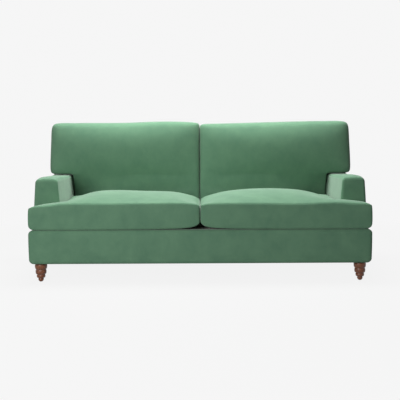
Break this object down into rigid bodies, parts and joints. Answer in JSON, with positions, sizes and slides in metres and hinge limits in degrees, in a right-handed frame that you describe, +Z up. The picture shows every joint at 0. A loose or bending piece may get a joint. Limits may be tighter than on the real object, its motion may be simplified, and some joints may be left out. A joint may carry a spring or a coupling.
{
  "type": "sofa bed",
  "caption": "Upholstered sofa bed on turned wooden legs, with loose eared seat and back cushions and a metal bed action that folds out from under the seat.",
  "frame": {"origin": "on the floor, under the middle of the overall box", "axes": "+X to the right as seen from the front, +Y to the back, +Z up"},
  "size_m": [2.05, 1.04, 0.9534],
  "materials": {
    "upholstery": "soft matte woven velvet in sage green",
    "turned_wood": "turned and stained brown, satin",
    "timber": "plain planed frame timber",
    "painted_steel": "dark grey powder coat",
    "plated_steel": "zinc plated",
    "webbing": "woven deck sheet",
    "ticking": "natural linen ticking with a woven stripe"
  },
  "bodies": {
    "carcass": {"front_rail": "upholstery", "rear_rail": "timber", "back_cushion_ledge": "timber", "back_panel": "upholstery", "left_base_side": "upholstery", "left_arm": "upholstery", "front_left_leg": "turned_wood", "rear_left_leg": "turned_wood", "left_mounting_rail": "painted_steel", "front_left_lift_stud": "plated_steel", "rear_left_lift_stud": "plated_steel", "right_base_side": "upholstery", "right_arm": "upholstery", "front_right_leg": "turned_wood", "rear_right_leg": "turned_wood", "right_mounting_rail": "painted_steel", "front_right_lift_stud": "plated_steel", "rear_right_lift_stud": "plated_steel"},
    "front_lift": {"front_left_lift_arm": "painted_steel", "front_right_lift_arm": "painted_steel"},
    "rear_lift": {"rear_left_lift_arm": "painted_steel", "rear_right_lift_arm": "painted_steel"},
    "head_section": {"head_left_bar": "painted_steel", "head_right_bar": "painted_steel", "head_fold_left_pin": "plated_steel", "head_fold_right_pin": "plated_steel", "head_front_left_stud": "plated_steel", "head_front_right_stud": "plated_steel", "head_rear_left_stud": "plated_steel", "head_rear_right_stud": "plated_steel", "head_front_tube": "painted_steel", "head_rear_tube": "painted_steel", "head_deck": "webbing", "head_mattress": "ticking"},
    "middle_section": {"middle_left_bar": "painted_steel", "middle_right_bar": "painted_steel", "foot_fold_left_pin": "plated_steel", "foot_fold_right_pin": "plated_steel", "middle_leg_tube": "painted_steel", "middle_front_tube": "painted_steel", "middle_deck": "webbing", "middle_mattress": "ticking"},
    "foot_section": {"foot_left_bar": "painted_steel", "foot_right_bar": "painted_steel", "foot_leg_tube": "painted_steel", "foot_rear_tube": "painted_steel", "foot_deck": "webbing", "foot_mattress": "ticking"},
    "middle_legs": {"middle_left_leg_post": "painted_steel", "middle_right_leg_post": "painted_steel", "middle_leg_bar": "painted_steel"},
    "foot_legs": {"foot_left_leg_post": "painted_steel", "foot_right_leg_post": "painted_steel", "foot_leg_bar": "painted_steel"},
    "left_seat_cushion": {"left_seat_cushion": "upholstery"},
    "right_seat_cushion": {"right_seat_cushion": "upholstery"},
    "left_back_cushion": {"left_back_cushion": "upholstery"},
    "right_back_cushion": {"right_back_cushion": "upholstery"}
  },
  "joints": [
    {"name": "bed_unfold", "type": "hinge", "parent": "head_section", "child": "middle_section", "pos_m": [0, -0.4, 0.1839], "axis": [1, 0, 0], "range_deg": [0, 180]},
    {"name": "front_lift_pivot", "type": "hinge", "parent": "carcass", "child": "front_lift", "pos_m": [0, -0.345, 0.2425], "axis": [1, 0, 0], "range_deg": [0, 54]},
    {"name": "rear_lift_pivot", "type": "hinge", "parent": "carcass", "child": "rear_lift", "pos_m": [0, -0.06055, 0.2425], "axis": [1, 0, 0], "range_deg": [0, 54]},
    {"name": "head_level_pivot", "type": "hinge", "parent": "front_lift", "child": "head_section", "pos_m": [0, -0.12225, 0.129], "axis": [-1, 0, 0], "range_deg": [0, 54]},
    {"name": "foot_fold", "type": "hinge", "parent": "middle_section", "child": "foot_section", "pos_m": [0, 0.19, 0.2483], "axis": [-1, 0, 0], "range_deg": [0, 180]},
    {"name": "middle_leg_swing", "type": "hinge", "parent": "middle_section", "child": "middle_legs", "pos_m": [0, 0.13, 0.2388], "axis": [-1, 0, 0], "range_deg": [0, 90]},
    {"name": "foot_leg_swing", "type": "hinge", "parent": "foot_section", "child": "foot_legs", "pos_m": [0, -0.43, 0.2578], "axis": [-1, 0, 0], "range_deg": [0, 90]},
    {"name": "left_seat_cushion_lift", "type": "slide", "parent": "foot_section", "child": "left_seat_cushion", "axis": [0, -0.2873, 0.9578], "range_m": [0, 0.45]},
    {"name": "left_back_cushion_lift", "type": "slide", "parent": "carcass", "child": "left_back_cushion", "axis": [0, 0, 1], "range_m": [0, 0.45]},
    {"name": "right_seat_cushion_lift", "type": "slide", "parent": "foot_section", "child": "right_seat_cushion", "axis": [0, -0.2873, 0.9578], "range_m": [0, 0.45]},
    {"name": "right_back_cushion_lift", "type": "slide", "parent": "carcass", "child": "right_back_cushion", "axis": [0, 0, 1], "range_m": [0, 0.45]}
  ],
  "couplings": [
    {"joint": "front_lift_pivot", "follows": "bed_unfold", "ratio": 0.3},
    {"joint": "rear_lift_pivot", "follows": "bed_unfold", "ratio": 0.3},
    {"joint": "head_level_pivot", "follows": "bed_unfold", "ratio": 0.3},
    {"joint": "foot_fold", "follows": "bed_unfold", "ratio": 1},
    {"joint": "middle_leg_swing", "follows": "bed_unfold", "ratio": 0.5},
    {"joint": "foot_leg_swing", "follows": "bed_unfold", "ratio": 0.5}
  ]
}
